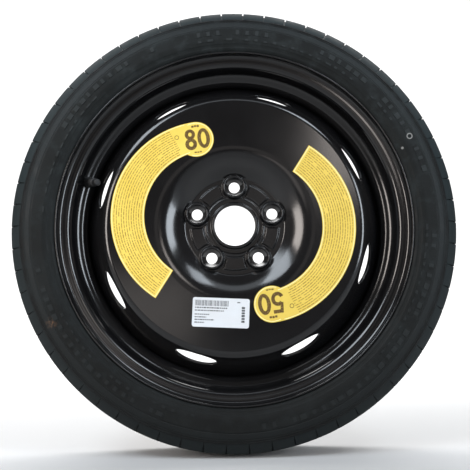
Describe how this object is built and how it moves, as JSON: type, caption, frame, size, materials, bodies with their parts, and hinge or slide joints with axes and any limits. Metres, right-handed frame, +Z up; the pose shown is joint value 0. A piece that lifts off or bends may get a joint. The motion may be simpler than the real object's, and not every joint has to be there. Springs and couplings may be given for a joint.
{
  "type": "temporary spare wheel",
  "caption": "Narrow temporary spare car wheel: slim tyre on a black pressed steel rim and disc with lobed vents, a centre bore, conical bolt seats, a snap-in valve and stuck-on labels.",
  "frame": {"origin": "wheel's centre: on the axle line, halfway between the rim's flanges", "axes": "+Y along the axle towards the car, so the outboard face with the labels looks along -Y; +Z up, through the top bolt hole; +X to the right, seen from outboard"},
  "size_m": [0.6318, 0.126, 0.6318],
  "materials": {
    "tyre_rubber": "matt moulded rubber",
    "black_enamel": "gloss black enamel on steel",
    "weld_metal": "black enamel over rough weld metal",
    "valve_rubber": "matt rubber",
    "brass": "turned brass",
    "red_seal": "satin seal",
    "bright_steel": "bright drawn steel",
    "black_seal": "satin rubber",
    "cap_plastic": "matt moulded plastic",
    "yellow_film": "satin printed film",
    "white_film": "satin printed film"
  },
  "bodies": {
    "wheel": {"tyre": "tyre_rubber", "rim": "black_enamel", "disc": "black_enamel", "weld_seams": "weld_metal", "valve_rubber": "valve_rubber", "valve_stem": "brass", "valve_core": "brass", "core_gasket": "red_seal", "core_spring": "bright_steel", "speed_label_80": "yellow_film", "speed_label_50": "yellow_film", "parts_label": "white_film"},
    "cap": {"valve_cap": "cap_plastic", "cap_seal": "black_seal"},
    "pin": {"core_pin": "bright_steel", "pin_seal": "black_seal"}
  },
  "joints": [
    {"name": "cap_slide", "type": "slide", "parent": "wheel", "child": "cap", "axis": [0.566, -0.8036, -0.1839], "range_m": [0, 0.025]},
    {"name": "pin_press", "type": "slide", "parent": "wheel", "child": "pin", "axis": [-0.566, 0.8036, 0.1839], "range_m": [0, 0.0012], "stiffness_N_per_m": 400, "springref_m": -0.002, "deforming": ["core_spring"]}
  ]
}
